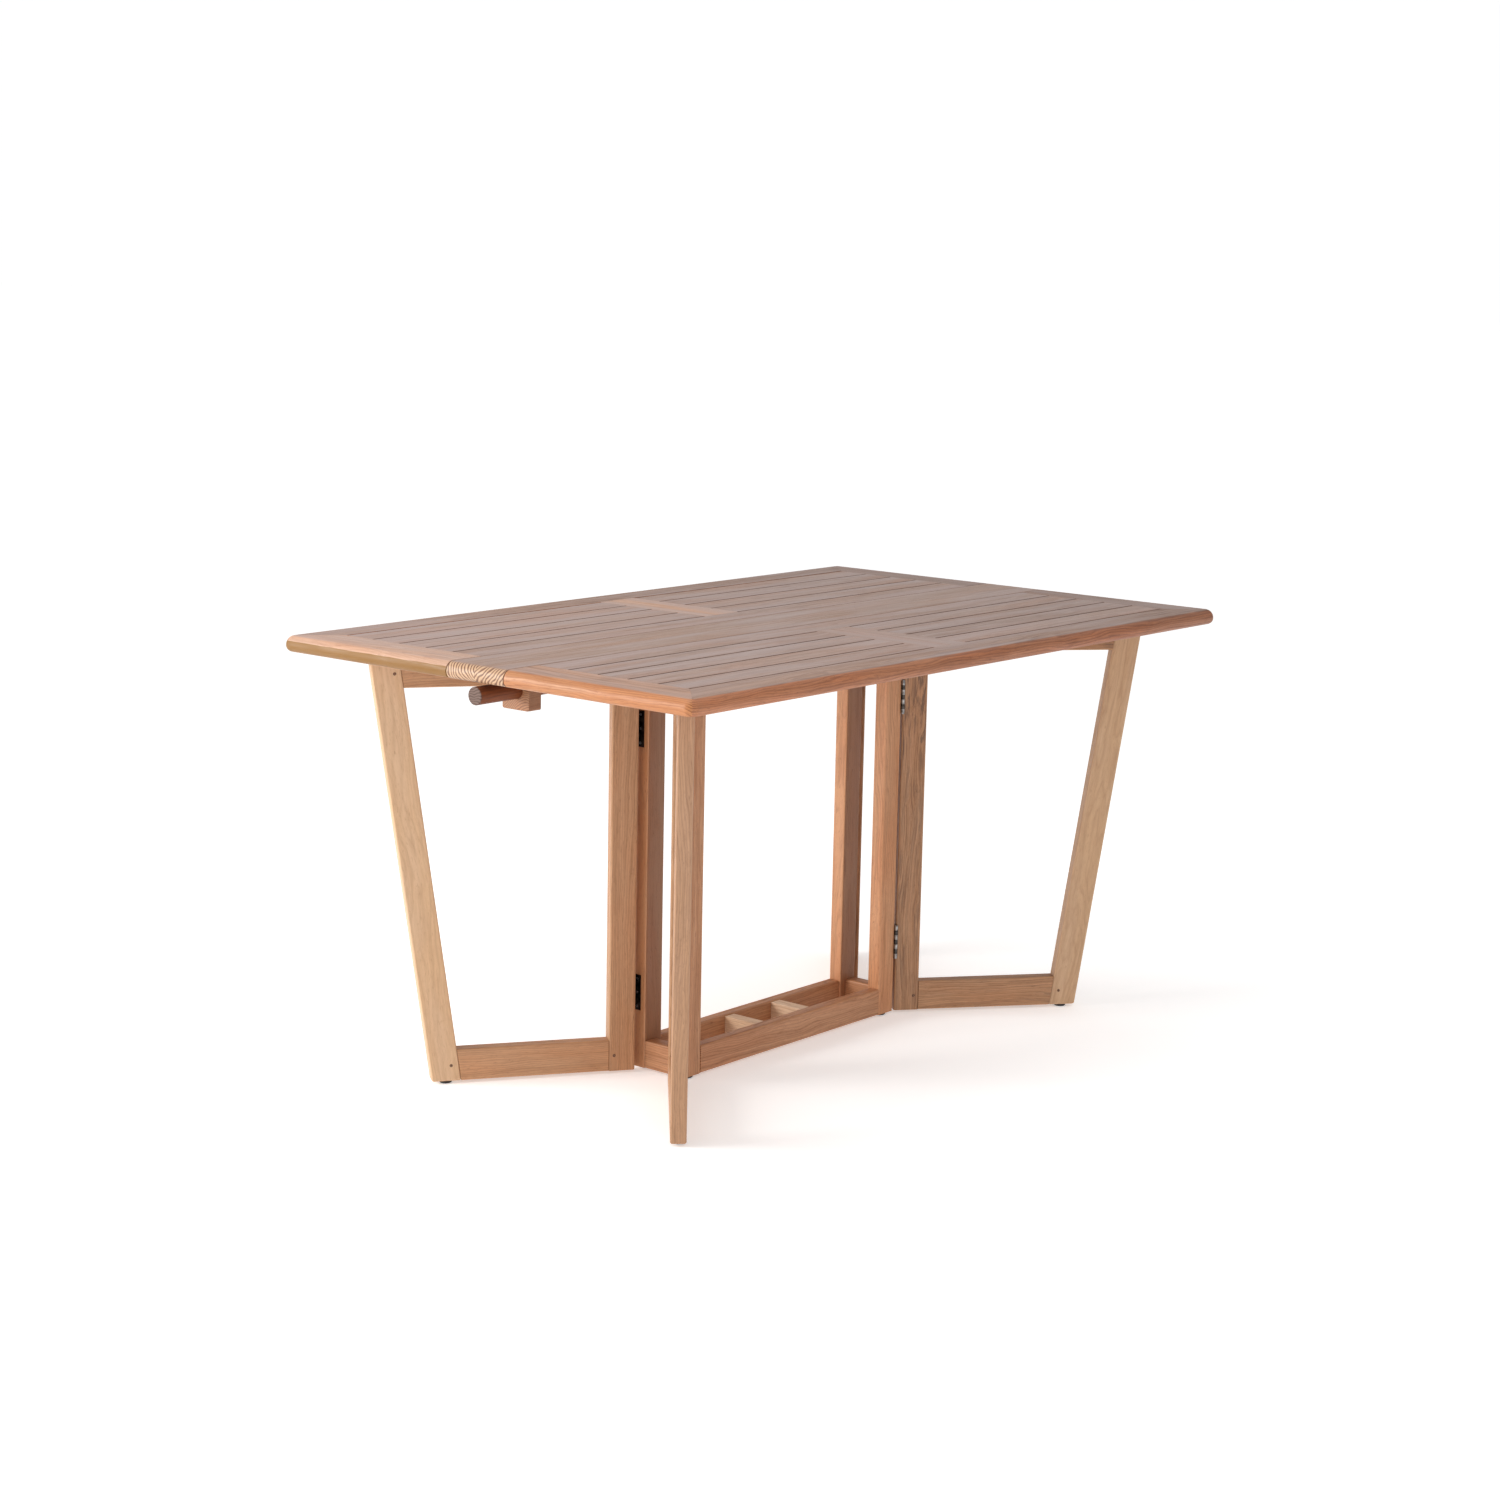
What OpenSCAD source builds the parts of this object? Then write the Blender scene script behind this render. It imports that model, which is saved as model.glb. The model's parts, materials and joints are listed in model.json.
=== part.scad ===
// Gateleg table: a fixed centre section on a narrow frame, two slatted leaves
// and four gates that swing out from the frame's corner posts.
// X runs along the table, Y across it, Z up. The origin is on the floor under the middle.
// "near" is the -X end, "far" the +X end, "front" the -Y side and "back" the +Y side.

/* [Table top] */
// Length of the table top
top_l = 1512; // [1480:2:1560]
// Width of the opened table top
top_w = 916; // [860:2:960]
// Height of the table above the floor
table_h = 774; // [740:1:800]
// Thickness of the top
top_t = 28; // [26:1:34]
// Width of the fixed centre section
centre_w = 126; // [124:1:132]
// Gap between the centre section and a leaf
leaf_gap = 2; // [2:0.5:4]
// Width of a leaf's end rails
end_rail_w = 79; // [60:1:84]
// Width of a leaf's outer stile
outer_stile_w = 74; // [55:1:78]
// Width of a leaf's inner stile
inner_stile_w = 62.5; // [55:0.5:70]
// Width of a leaf's middle rail
mid_rail_w = 90; // [60:2:110]
// Number of slats on each side of the middle rail
slat_count = 4; // [3:1:5]
// Gap between slats
slat_gap = 4; // [2:0.5:6]
// Radius of the upper edge of the top
upper_edge_r = 16; // [8:1:16]
// Radius of the lower edge of the top
lower_edge_r = 10; // [3:1:10]
// Radius of the top's corners in plan
corner_r = 18; // [12:1:30]

/* [Centre frame] */
// Length over the posts
frame_l = 600; // [580:5:620]
// Width over the posts
frame_w = 120; // [118:1:122]
// Size of a post along the table
post_x = 43; // [36:1:48]
// Size of a post across the table
post_y = 28; // [26:1:32]
// Height of the frame's rails
rail_h = 50; // [45:1:60]
// Thickness of the long rails
long_rail_t = 24; // [18:1:25]
// Thickness of the end rails
end_rail_t = 28; // [20:1:32]
// Thickness of the two cross dividers of the bottom box
divider_t = 26; // [16:1:30]
// Distance of a divider's middle from the table's middle
divider_x = 66; // [50:1:90]
// Depth of a divider's top below the rails' top
divider_drop = 2; // [0:0.5:6]

/* [Gates] */
// Thickness of a gate
gate_t = 27; // [24:1:28]
// Width of the hinge stile
stile_w = 46; // [40:1:50]
// Width of the slanted leg, measured level
leg_w = 51; // [44:1:56]
// Distance from the hinge to the leg's inner corner at its foot
leg_foot = 308; // [280:1:320]
// Slant of the leg from upright
leg_rake = 8.1; // [4:0.1:10]
// Height of the bottom rail
gate_low_rail_h = 56; // [40:1:60]
// Height of the top rail
gate_top_rail_h = 50; // [40:1:60]
// Room between the gates and the top
gate_clear = 2; // [1.5:0.5:4]
// Opening angle of the near front gate
open_near_front = 42; // [0:0.5:90]
// Opening angle of the far front gate
open_far_front = 39; // [0:0.5:90]
// Opening angle of the near back gate
open_near_back = 34.5; // [0:0.5:90]
// Opening angle of the far back gate
open_far_back = 39; // [0:0.5:90]

/* [Carrying rod] */
// Diameter of the rod
rod_d = 30; // [24:1:32]
// Length of the rod
rod_l = 1510; // [1400:10:1560]
// Depth of the rod's axis below the underside of the top
rod_drop = 21; // [18:1:24]
// Distance of a rod block's middle from the table's middle
block_x = 648; // [500:5:680]
// Thickness of a rod block
block_t = 28; // [20:1:36]
// Width of a rod block
block_w = 60; // [44:1:62]
// Height of a rod block
block_h = 54; // [45:1:70]

/* [Hinges and glides] */
// Length of a gate hinge
gate_hinge_l = 64; // [50:1:76]
// Height of the middle of a gate's lower hinge
low_hinge_z = 140; // [100:5:180]
// Height of the middle of a gate's upper hinge
high_hinge_z = 610; // [560:5:640]
// Length of a leaf hinge
leaf_hinge_l = 60; // [50:1:76]
// Distance between a leaf's hinges along the table
leaf_hinge_pitch = 200; // [150:10:220]
// Diameter of a glide
glide_d = 22; // [16:1:24]
// Height of a glide
glide_h = 5; // [4:1:8]

/* [Hidden] */
$fn = 48;

// Radius on the long edges of the frame and gate members
bar_r = 3;
// Extra length of a cutting or clipping solid past the faces that it cuts
over = 1;
under_z = table_h - top_t;
half_l = top_l / 2;
half_w = top_w / 2;
leaf_y = centre_w / 2 + leaf_gap;
slat_l = half_l - end_rail_w - mid_rail_w / 2;
inner_stile_y = leaf_y + inner_stile_w;
outer_stile_y = half_w - outer_stile_w;
slat_w = (outer_stile_y - inner_stile_y - (slat_count + 1) * slat_gap) / slat_count;

// Gate hinge: the pin stands outside the corner, half way across the gap
hinge_gap = 4;
pin_out = 3;
knuckle_r = 3.2;
gate_pin_r = 1.5;
running_fit = 0.06;
plate_t = 1.8;
plate_w = 17;
plate_edge = 0.6;
knuckle_count = 7;
knuckle_gap = 0.3;
pivot_x = frame_l / 2 + hinge_gap / 2;
pivot_y = frame_w / 2 + pin_out;
gate_h = under_z - gate_clear - glide_h;

// Leaf hinge: the pin lies just below the underside, in the middle of the leaf gap
leaf_knuckle_r = 3;
leaf_pin_r = 1.25;
leaf_pin_z = under_z - 3.5;
leaf_pin_y = centre_w / 2 + leaf_gap / 2;
leaf_plate_t = 2;
leaf_plate_w = 18.7;
leaf_plate_side = 1.3;
leaf_tab_w = 1.5;
leaf_knuckle_count = 3;
recess_room = 0.2;

rod_z = under_z - rod_drop;
rod_fit = 0.05;
block_size = [block_t, block_w, block_h];
gate_hinge_z = [low_hinge_z, high_hinge_z];
leaf_hinge_x = [-leaf_hinge_pitch, 0, leaf_hinge_pitch];

teak = [0.72, 0.52, 0.37];
teak_light = [0.80, 0.62, 0.45];
teak_top = [0.62, 0.49, 0.42];
black_metal = [0.10, 0.10, 0.11];
black_plastic = [0.06, 0.06, 0.06];

CORNERS = [
    ["near_front", -1, -1, open_near_front],
    ["far_front", 1, -1, open_far_front],
    ["near_back", -1, 1, open_near_back],
    ["far_back", 1, 1, open_far_back]
];
SIDES = [["front", -1], ["back", 1]];
ENDS = [["near", -1], ["far", 1]];
GATE_PARTS = ["stile", "leg", "top_rail", "bottom_rail", "hinges", "glide"];
LEAF_PARTS = ["outer_stile", "inner_stile", "mid_rail", "slats", "hinges"];
SIDE_PARTS = ["centre_board", "base_rail", "top_rail"];
END_PARTS = ["base_end_rail", "top_end_rail"];

// ---- helpers ----

// Puts a shape drawn in the far back quadrant into the quadrant with signs sx and sy
module quadrant(sx, sy) {
    mirror([sx < 0 ? 1 : 0, 0, 0])
        mirror([0, sy < 0 ? 1 : 0, 0])
            children();
}

// Rectangle from the origin with its four corners rounded
module soft_rect(a, b, r) {
    translate([r, 0]) square([a - 2 * r, b]);
    translate([0, r]) square([a, b - 2 * r]);
    for (x = [r, a - r])
        for (y = [r, b - r])
            translate([x, y]) circle(r);
}

// Upright, lengthwise and crosswise members with rounded long edges
module bar_z(size) {
    linear_extrude(size[2]) soft_rect(size[0], size[1], bar_r);
}

module bar_x(size) {
    translate([0, 0, size[2]])
        rotate([0, 90, 0])
            linear_extrude(size[0]) soft_rect(size[2], size[1], bar_r);
}

module bar_y(size) {
    translate([size[0], 0, 0])
        rotate([-90, 180, 0])
            linear_extrude(size[1]) soft_rect(size[0], size[2], bar_r);
}

// Section through the whole top, from edge to edge, with the upper and lower edges rounded
module edge_profile(half) {
    translate([-half, lower_edge_r])
        square([2 * half, top_t - lower_edge_r - upper_edge_r]);
    translate([-half + upper_edge_r, 0])
        square([2 * (half - upper_edge_r), top_t]);
    translate([-half + lower_edge_r, 0])
        square([2 * (half - lower_edge_r), lower_edge_r]);
    for (side = [-1, 1]) {
        translate([side * (half - upper_edge_r), top_t - upper_edge_r]) circle(upper_edge_r);
        translate([side * (half - lower_edge_r), lower_edge_r]) circle(lower_edge_r);
    }
}

// Plan of the top with rounded corners
module top_plan() {
    translate([-half_l + corner_r, -half_w]) square([top_l - 2 * corner_r, top_w]);
    translate([-half_l, -half_w + corner_r]) square([top_l, top_w - 2 * corner_r]);
    for (x = [-1, 1])
        for (y = [-1, 1])
            translate([x * (half_l - corner_r), y * (half_w - corner_r)]) circle(corner_r);
}

// Keeps the part of a top member that lies inside the rounded ends of the top and,
// where the member reaches them, inside its rounded sides and corners
module within_top(sides_too) {
    intersection() {
        children();
        translate([0, half_w + over, under_z])
            rotate([90, 0, 0])
                linear_extrude(top_w + 2 * over) edge_profile(half_l);
        if (sides_too)
            translate([-half_l - over, 0, under_z])
                rotate([90, 0, 90])
                    linear_extrude(top_l + 2 * over) edge_profile(half_w);
        if (sides_too)
            translate([0, 0, under_z]) linear_extrude(top_t) top_plan();
    }
}

// ---- table top ----

// Pocket for a leaf hinge plate, from y0 to y1 on the underside
module hinge_recess(y0, y1) {
    for (x = leaf_hinge_x)
        translate([x - leaf_hinge_l / 2 - recess_room, y0, under_z - over])
            cube([leaf_hinge_l + 2 * recess_room, y1 - y0, over + leaf_plate_t]);
}

module centre_board(side) {
    color(teak_top)
        quadrant(1, side[1])
            difference() {
                within_top(false)
                    translate([-half_l, 0, under_z]) cube([top_l, centre_w / 2, top_t]);
                hinge_recess(leaf_pin_y - leaf_plate_side - leaf_plate_w, centre_w / 2 + over);
            }
}

module leaf_outer_stile(side) {
    color(teak_top)
        quadrant(1, side[1])
            within_top(true)
                translate([0, 0, under_z])
                    linear_extrude(top_t)
                        polygon([
                            [-half_l, half_w],
                            [half_l, half_w],
                            [half_l - end_rail_w, outer_stile_y],
                            [-half_l + end_rail_w, outer_stile_y]
                        ]);
}

module leaf_end_rail(corner) {
    color(teak_light)
        quadrant(corner[1], corner[2])
            within_top(true)
                translate([0, 0, under_z])
                    linear_extrude(top_t)
                        polygon([
                            [half_l, half_w],
                            [half_l, leaf_y],
                            [half_l - end_rail_w, leaf_y],
                            [half_l - end_rail_w, outer_stile_y]
                        ]);
}

module leaf_inner_stile(side) {
    color(teak_top)
        quadrant(1, side[1])
            difference() {
                translate([-half_l + end_rail_w, leaf_y, under_z])
                    cube([top_l - 2 * end_rail_w, inner_stile_w, top_t]);
                hinge_recess(leaf_y - over, leaf_pin_y + leaf_plate_side + leaf_plate_w);
            }
}

module leaf_mid_rail(side) {
    color(teak_light)
        quadrant(1, side[1])
            translate([-mid_rail_w / 2, inner_stile_y, under_z])
                cube([mid_rail_w, outer_stile_y - inner_stile_y, top_t]);
}

module leaf_slats(side) {
    color(teak_top)
        quadrant(1, side[1])
            for (end = [-1, 1])
                for (i = [0 : slat_count - 1])
                    translate([
                        end * (mid_rail_w + slat_l) / 2 - slat_l / 2,
                        inner_stile_y + slat_gap + i * (slat_w + slat_gap),
                        under_z
                    ])
                        cube([slat_l, slat_w, top_t]);
}

// ---- centre frame ----

module post(corner) {
    color(teak)
        quadrant(corner[1], corner[2])
            translate([frame_l / 2 - post_x, frame_w / 2 - post_y, glide_h])
                bar_z([post_x, post_y, under_z - glide_h]);
}

module long_rail(side, z) {
    quadrant(1, side[1])
        translate([-frame_l / 2 + post_x, frame_w / 2 - long_rail_t, z])
            bar_x([frame_l - 2 * post_x, long_rail_t, rail_h]);
}

module base_rail(side) {
    color(teak) long_rail(side, glide_h);
}

module top_rail(side) {
    color(teak) long_rail(side, under_z - rail_h);
}

module end_rail(end, z) {
    quadrant(end[1], 1)
        translate([frame_l / 2 - end_rail_t, -frame_w / 2 + post_y, z])
            bar_y([end_rail_t, frame_w - 2 * post_y, rail_h]);
}

module base_end_rail(end) {
    color(teak) end_rail(end, glide_h);
}

// Hole for the carrying rod through a wall that starts at x0
module rod_bore(x0, wall) {
    translate([x0 - over, 0, rod_z])
        rotate([0, 90, 0]) cylinder(r = rod_d / 2 + rod_fit, h = wall + 2 * over);
}

module top_end_rail(end) {
    color(teak)
        difference() {
            end_rail(end, under_z - rail_h);
            quadrant(end[1], 1) rod_bore(frame_l / 2 - end_rail_t, end_rail_t);
        }
}

module box_dividers() {
    color(teak_light)
        for (end = [-1, 1])
            translate([end * divider_x - divider_t / 2, -frame_w / 2 + long_rail_t, glide_h])
                cube([divider_t, frame_w - 2 * long_rail_t, rail_h - divider_drop]);
}

module carrying_rod() {
    color(teak)
        translate([-rod_l / 2, 0, rod_z])
            rotate([0, 90, 0]) cylinder(r = rod_d / 2, h = rod_l);
}

module rod_blocks() {
    color(teak_light)
        for (end = [-1, 1])
            quadrant(end, 1)
                difference() {
                    translate([block_x - block_t / 2, -block_w / 2, under_z - block_h])
                        bar_z(block_size);
                    rod_bore(block_x - block_t / 2, block_t);
                }
}

module glide(x, y) {
    translate([x, y, 0]) cylinder(d = glide_d, h = glide_h);
}

module base_glides() {
    color(black_plastic)
        for (corner = CORNERS)
            quadrant(corner[1], corner[2])
                glide(frame_l / 2 - post_x / 2, frame_w / 2 - post_y / 2);
}

// ---- gate hinges ----

// One half of a gate hinge, lying against x = -hinge_gap / 2, with its pin axis at the origin.
// first is the lowest knuckle that belongs to this half.
module hinge_half(first, bore_r) {
    knuckle_l = gate_hinge_l / knuckle_count;
    translate([-hinge_gap / 2, -pin_out - plate_w, 0])
        cube([plate_t, plate_w - plate_edge, gate_hinge_l]);
    for (i = [first : 2 : knuckle_count - 1])
        translate([0, 0, i * knuckle_l + knuckle_gap / 2])
            difference() {
                union() {
                    cylinder(r = knuckle_r, h = knuckle_l - knuckle_gap);
                    translate([-hinge_gap / 2, -pin_out - 2 * plate_edge, 0])
                        cube([plate_t, pin_out, knuckle_l - knuckle_gap]);
                }
                translate([0, 0, -over]) cylinder(r = bore_r, h = knuckle_l + 2 * over);
            }
}

module post_hinges() {
    color(black_metal)
        for (corner = CORNERS)
            for (z = gate_hinge_z)
                quadrant(corner[1], corner[2])
                    translate([pivot_x, pivot_y, z - gate_hinge_l / 2])
                        union() {
                            hinge_half(0, gate_pin_r);
                            cylinder(r = gate_pin_r, h = gate_hinge_l);
                        }
}

// ---- gates ----

// Places a gate drawn along +X from its pin axis, opened by its own angle
module at_gate(corner) {
    quadrant(corner[1], corner[2])
        translate([pivot_x, pivot_y, 0])
            rotate([0, 0, corner[3]])
                children();
}

// Everything on the outer side of the leg's inner face
module beyond_leg() {
    translate([leg_foot, -pin_out - gate_t - over, glide_h])
        rotate([0, leg_rake, 0])
            translate([0, 0, -leg_w]) cube([2 * leg_w, gate_t + 2 * over, gate_h + 4 * leg_w]);
}

module gate_stile(corner) {
    color(teak_light)
        at_gate(corner)
            translate([hinge_gap / 2, -pin_out - gate_t, glide_h])
                bar_z([stile_w, gate_t, gate_h]);
}

module gate_leg(corner) {
    slant_w = leg_w * cos(leg_rake);
    color(teak_light)
        at_gate(corner)
            intersection() {
                translate([leg_foot, -pin_out - gate_t, glide_h])
                    rotate([0, leg_rake, 0])
                        translate([0, 0, -leg_w]) bar_z([slant_w, gate_t, gate_h + 2 * leg_w]);
                translate([0, -pin_out - gate_t - over, glide_h])
                    cube([half_l, gate_t + 2 * over, gate_h]);
            }
}

// Rail from the stile to the slanted leg, with its underside at z
module gate_rail(corner, z, h) {
    leg_x = leg_foot + (z + h - glide_h) * tan(leg_rake);
    stile_x = hinge_gap / 2 + stile_w;
    at_gate(corner)
        difference() {
            translate([stile_x, -pin_out - gate_t, z]) bar_x([leg_x - stile_x, gate_t, h]);
            beyond_leg();
        }
}

module gate_top_rail(corner) {
    color(teak_light) gate_rail(corner, glide_h + gate_h - gate_top_rail_h, gate_top_rail_h);
}

module gate_bottom_rail(corner) {
    color(teak_light) gate_rail(corner, glide_h, gate_low_rail_h);
}

module gate_hinges(corner) {
    color(black_metal)
        at_gate(corner)
            for (z = gate_hinge_z)
                translate([0, 0, z - gate_hinge_l / 2])
                    mirror([1, 0, 0]) hinge_half(1, gate_pin_r + running_fit);
}

module gate_glide(corner) {
    color(black_plastic)
        at_gate(corner) glide(leg_foot + leg_w / 2, -pin_out - gate_t / 2);
}

// ---- leaf hinges ----

// One half of a leaf hinge with its pin axis along X through the origin and its plate towards +Y
module leaf_hinge_half(first, bore_r) {
    knuckle_l = leaf_hinge_l / leaf_knuckle_count;
    plate_z = under_z - leaf_pin_z;
    translate([0, leaf_plate_side, plate_z])
        cube([leaf_hinge_l, leaf_plate_w, leaf_plate_t]);
    for (i = [first : 2 : leaf_knuckle_count - 1])
        translate([i * knuckle_l + knuckle_gap / 2, 0, 0])
            difference() {
                union() {
                    rotate([0, 90, 0]) cylinder(r = leaf_knuckle_r, h = knuckle_l - knuckle_gap);
                    translate([0, leaf_plate_side, 0])
                        cube([knuckle_l - knuckle_gap, leaf_tab_w, plate_z + leaf_plate_t]);
                }
                translate([-over, 0, 0])
                    rotate([0, 90, 0]) cylinder(r = bore_r, h = knuckle_l + 2 * over);
            }
}

module leaf_hinges(side) {
    color(black_metal)
        for (x = leaf_hinge_x)
            quadrant(1, side[1])
                translate([x - leaf_hinge_l / 2, leaf_pin_y, leaf_pin_z])
                    leaf_hinge_half(1, leaf_pin_r + running_fit);
}

module top_hinges() {
    color(black_metal)
        for (side = SIDES)
            for (x = leaf_hinge_x)
                quadrant(1, side[1])
                    translate([x - leaf_hinge_l / 2, leaf_pin_y, leaf_pin_z])
                        union() {
                            mirror([0, 1, 0]) leaf_hinge_half(0, leaf_pin_r);
                            rotate([0, 90, 0]) cylinder(r = leaf_pin_r, h = leaf_hinge_l);
                        }
}

// ---- nodes ----

for (s = SIDES) {
    centre_board(s);
    base_rail(s);
    top_rail(s);
    leaf_outer_stile(s);
    leaf_inner_stile(s);
    leaf_mid_rail(s);
    leaf_slats(s);
    leaf_hinges(s);
}
for (e = ENDS) {
    base_end_rail(e);
    top_end_rail(e);
}
for (c = CORNERS) {
    post(c);
    leaf_end_rail(c);
    gate_stile(c);
    gate_leg(c);
    gate_top_rail(c);
    gate_bottom_rail(c);
    gate_hinges(c);
    gate_glide(c);
}
box_dividers();
carrying_rod();
rod_blocks();
base_glides();
post_hinges();
top_hinges();
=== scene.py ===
"""The looks of a gateleg table: wooden members, hinges, screws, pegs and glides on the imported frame."""

import json
import math
import random

import bmesh
import bpy
from mathutils import Matrix, Vector


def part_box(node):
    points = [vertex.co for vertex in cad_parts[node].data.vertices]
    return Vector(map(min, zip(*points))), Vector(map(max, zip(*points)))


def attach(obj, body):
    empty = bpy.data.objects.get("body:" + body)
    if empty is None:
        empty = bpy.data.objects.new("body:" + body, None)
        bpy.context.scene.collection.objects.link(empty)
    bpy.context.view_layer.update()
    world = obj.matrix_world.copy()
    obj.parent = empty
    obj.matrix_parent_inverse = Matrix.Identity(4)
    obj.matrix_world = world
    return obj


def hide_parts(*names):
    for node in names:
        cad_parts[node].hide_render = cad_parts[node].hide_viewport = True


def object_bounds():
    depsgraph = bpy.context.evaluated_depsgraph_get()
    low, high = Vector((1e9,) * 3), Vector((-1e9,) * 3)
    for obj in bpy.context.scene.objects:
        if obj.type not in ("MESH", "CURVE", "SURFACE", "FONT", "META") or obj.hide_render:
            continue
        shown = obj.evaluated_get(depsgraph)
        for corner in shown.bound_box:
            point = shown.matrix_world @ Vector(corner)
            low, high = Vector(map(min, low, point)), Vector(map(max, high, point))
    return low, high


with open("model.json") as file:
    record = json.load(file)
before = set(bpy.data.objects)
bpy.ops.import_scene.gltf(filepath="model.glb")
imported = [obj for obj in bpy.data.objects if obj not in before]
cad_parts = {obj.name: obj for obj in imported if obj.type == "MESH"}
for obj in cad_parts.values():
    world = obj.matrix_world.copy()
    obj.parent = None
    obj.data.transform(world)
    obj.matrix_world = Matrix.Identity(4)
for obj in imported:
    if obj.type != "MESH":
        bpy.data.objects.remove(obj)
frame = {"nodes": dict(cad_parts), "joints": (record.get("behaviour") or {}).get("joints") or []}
CAD_LOW, CAD_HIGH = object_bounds()
NODES = frame["nodes"]
JOINTS = {j["child"]: j for j in frame["joints"]}  # by the body that each one moves
dice = random.Random(11)

SIDES = {"front": -1, "back": 1}
ENDS = {"near": -1, "far": 1}
CORNERS = {f"{end}_{side}": (ENDS[end], SIDES[side]) for end in ENDS for side in SIDES}

MM = 0.001
LONG_R = 3.5 * MM  # rounding of the long edges of frame and gate members
JOINT_R = 0.45 * MM  # tiny chamfer that draws each joint line
GROOVE_R = 0.7 * MM  # rounding of the edges beside the grooves of the top
FOOT_R = 6 * MM  # rounding round the foot of a leg
LET_IN = 1.4 * MM  # how far wood beside a gate hinge is drawn forward, to let its plates in
END_REACH = 0.1 * MM  # points this near to the lowest or highest one count as that end
ALIGNED = 0.9  # least cosine between an edge and the direction it counts as lying along


# ---- frames and sizes taken from the CAD ----

# Turns of a piece whose local X axis, the way of its grain, lies along the table's X, Y or Z.
ALONG_X = Matrix.Identity(4)
ALONG_Y = Matrix.Rotation(math.pi / 2, 4, "Z")
ALONG_Z = Matrix(((0, 0, -1, 0), (0, 1, 0, 0), (1, 0, 0, 0), (0, 0, 0, 1)))


def gate_axes(corner):
    """Frame of an open gate: X from the hinge pin along the gate, Z up."""
    sx, sy = CORNERS[corner]
    joint = JOINTS["gate_" + corner]
    opening = math.radians(-joint["range_deg"][0])
    turn = math.atan2(sy * math.sin(opening), sx * math.cos(opening))
    pin = Vector(joint["pos_m"])
    return Matrix.Translation((pin.x, pin.y, 0)) @ Matrix.Rotation(turn, 4, "Z")


def local_points(node, axes):
    back = axes.inverted()
    return [back @ v.co for v in NODES[node].data.vertices]


def corners_of(points):
    low = Vector([min(p[i] for p in points) for i in range(3)])
    high = Vector([max(p[i] for p in points) for i in range(3)])
    return low, high


def ends_of(points):
    """Low and high corner of the points, then the corners of their bottom end and of their top end."""
    low, high = corners_of(points)
    foot = corners_of([p for p in points if p.z < low.z + END_REACH])
    head = corners_of([p for p in points if p.z > high.z - END_REACH])
    return low, high, foot, head


def twin_boxes(node):
    """End, low corner and high corner of a node's two solids, one at either end of the table."""
    low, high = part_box(node)
    far = corners_of([v.co for v in NODES[node].data.vertices if v.co.x > 0])
    for end, sx in ENDS.items():
        xs = sorted((sx * far[0].x, sx * far[1].x))
        yield end, Vector((xs[0], low.y, low.z)), Vector((xs[1], high.y, high.z))


# ---- mesh helpers ----


def sharp_edges(bm, degrees=35):
    limit = math.radians(degrees)
    return [e for e in bm.edges if len(e.link_faces) == 2 and e.calc_face_angle() > limit]


def round_edges(bm, edges, radius, segments):
    if edges:
        bmesh.ops.bevel(
            bm,
            geom=edges,
            offset=radius,
            segments=segments,
            profile=0.5,
            affect="EDGES",
            clamp_overlap=True,
        )


def prism(low, high, foot=None, head=None):
    """Box from low to high. For one that leans, foot and head give its X range at bottom and top."""
    foot = foot or (low.x, high.x)
    head = head or (low.x, high.x)
    bm = bmesh.new()
    rows = [
        [bm.verts.new((x, y, z)) for x, y in ((a, low.y), (b, low.y), (b, high.y), (a, high.y))]
        for (a, b), z in ((foot, low.z), (head, high.z))
    ]
    bm.faces.new(rows[0][::-1])
    bm.faces.new(rows[1])
    for i in range(4):
        j = (i + 1) % 4
        bm.faces.new((rows[0][i], rows[0][j], rows[1][j], rows[1][i]))
    bmesh.ops.recalc_face_normals(bm, faces=bm.faces)
    return bm


def edges_along(bm, direction):
    direction = Vector(direction).normalized()
    return [
        e
        for e in bm.edges
        if abs((e.verts[1].co - e.verts[0].co).normalized().dot(direction)) > ALIGNED
    ]


def keep_below(bm, point, normal):
    """Cuts the solid at a plane, drops what lies on the normal's side and closes the cut."""
    bmesh.ops.bisect_plane(
        bm,
        geom=list(bm.verts) + list(bm.edges) + list(bm.faces),
        plane_co=point,
        plane_no=normal,
        clear_outer=True,
    )
    rim = [e for e in bm.edges if len(e.link_faces) == 1]
    if rim:
        bmesh.ops.contextual_create(bm, geom=rim)


def lathe(profile, steps):
    """Solid of revolution about Z from (radius, z) points; the first and last lie on the axis."""
    bm = bmesh.new()
    rings = []
    for radius, z in profile:
        if radius == 0:
            rings.append([bm.verts.new((0, 0, z))])
        else:
            turns = [2 * math.pi * i / steps for i in range(steps)]
            rings.append([bm.verts.new((radius * math.cos(t), radius * math.sin(t), z)) for t in turns])
    for a, b in zip(rings, rings[1:]):
        for i in range(steps):
            j = (i + 1) % steps
            loop = [a[i % len(a)], a[j % len(a)], b[j % len(b)], b[i % len(b)]]
            bm.faces.new(list(dict.fromkeys(loop)))
    bmesh.ops.recalc_face_normals(bm, faces=bm.faces)
    return bm


# ---- making pieces ----


def finish_mesh(name, bm, axes, body, material, nodes):
    """Makes a piece of the mesh, placed by axes, which rides on the body and replaces the nodes."""
    bmesh.ops.recalc_face_normals(bm, faces=bm.faces)
    bm.transform(axes)
    mesh = bpy.data.meshes.new(name)
    for face in bm.faces:
        face.smooth = True
    bm.to_mesh(mesh)
    bm.free()
    piece = bpy.data.objects.new(name, mesh)
    bpy.context.scene.collection.objects.link(piece)
    mesh.materials.append(material)
    weigh = piece.modifiers.new("flat_faces", "WEIGHTED_NORMAL")
    weigh.keep_sharp = True
    weigh.weight = 100
    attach(piece, body)
    if nodes:
        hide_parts(*nodes)


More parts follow.
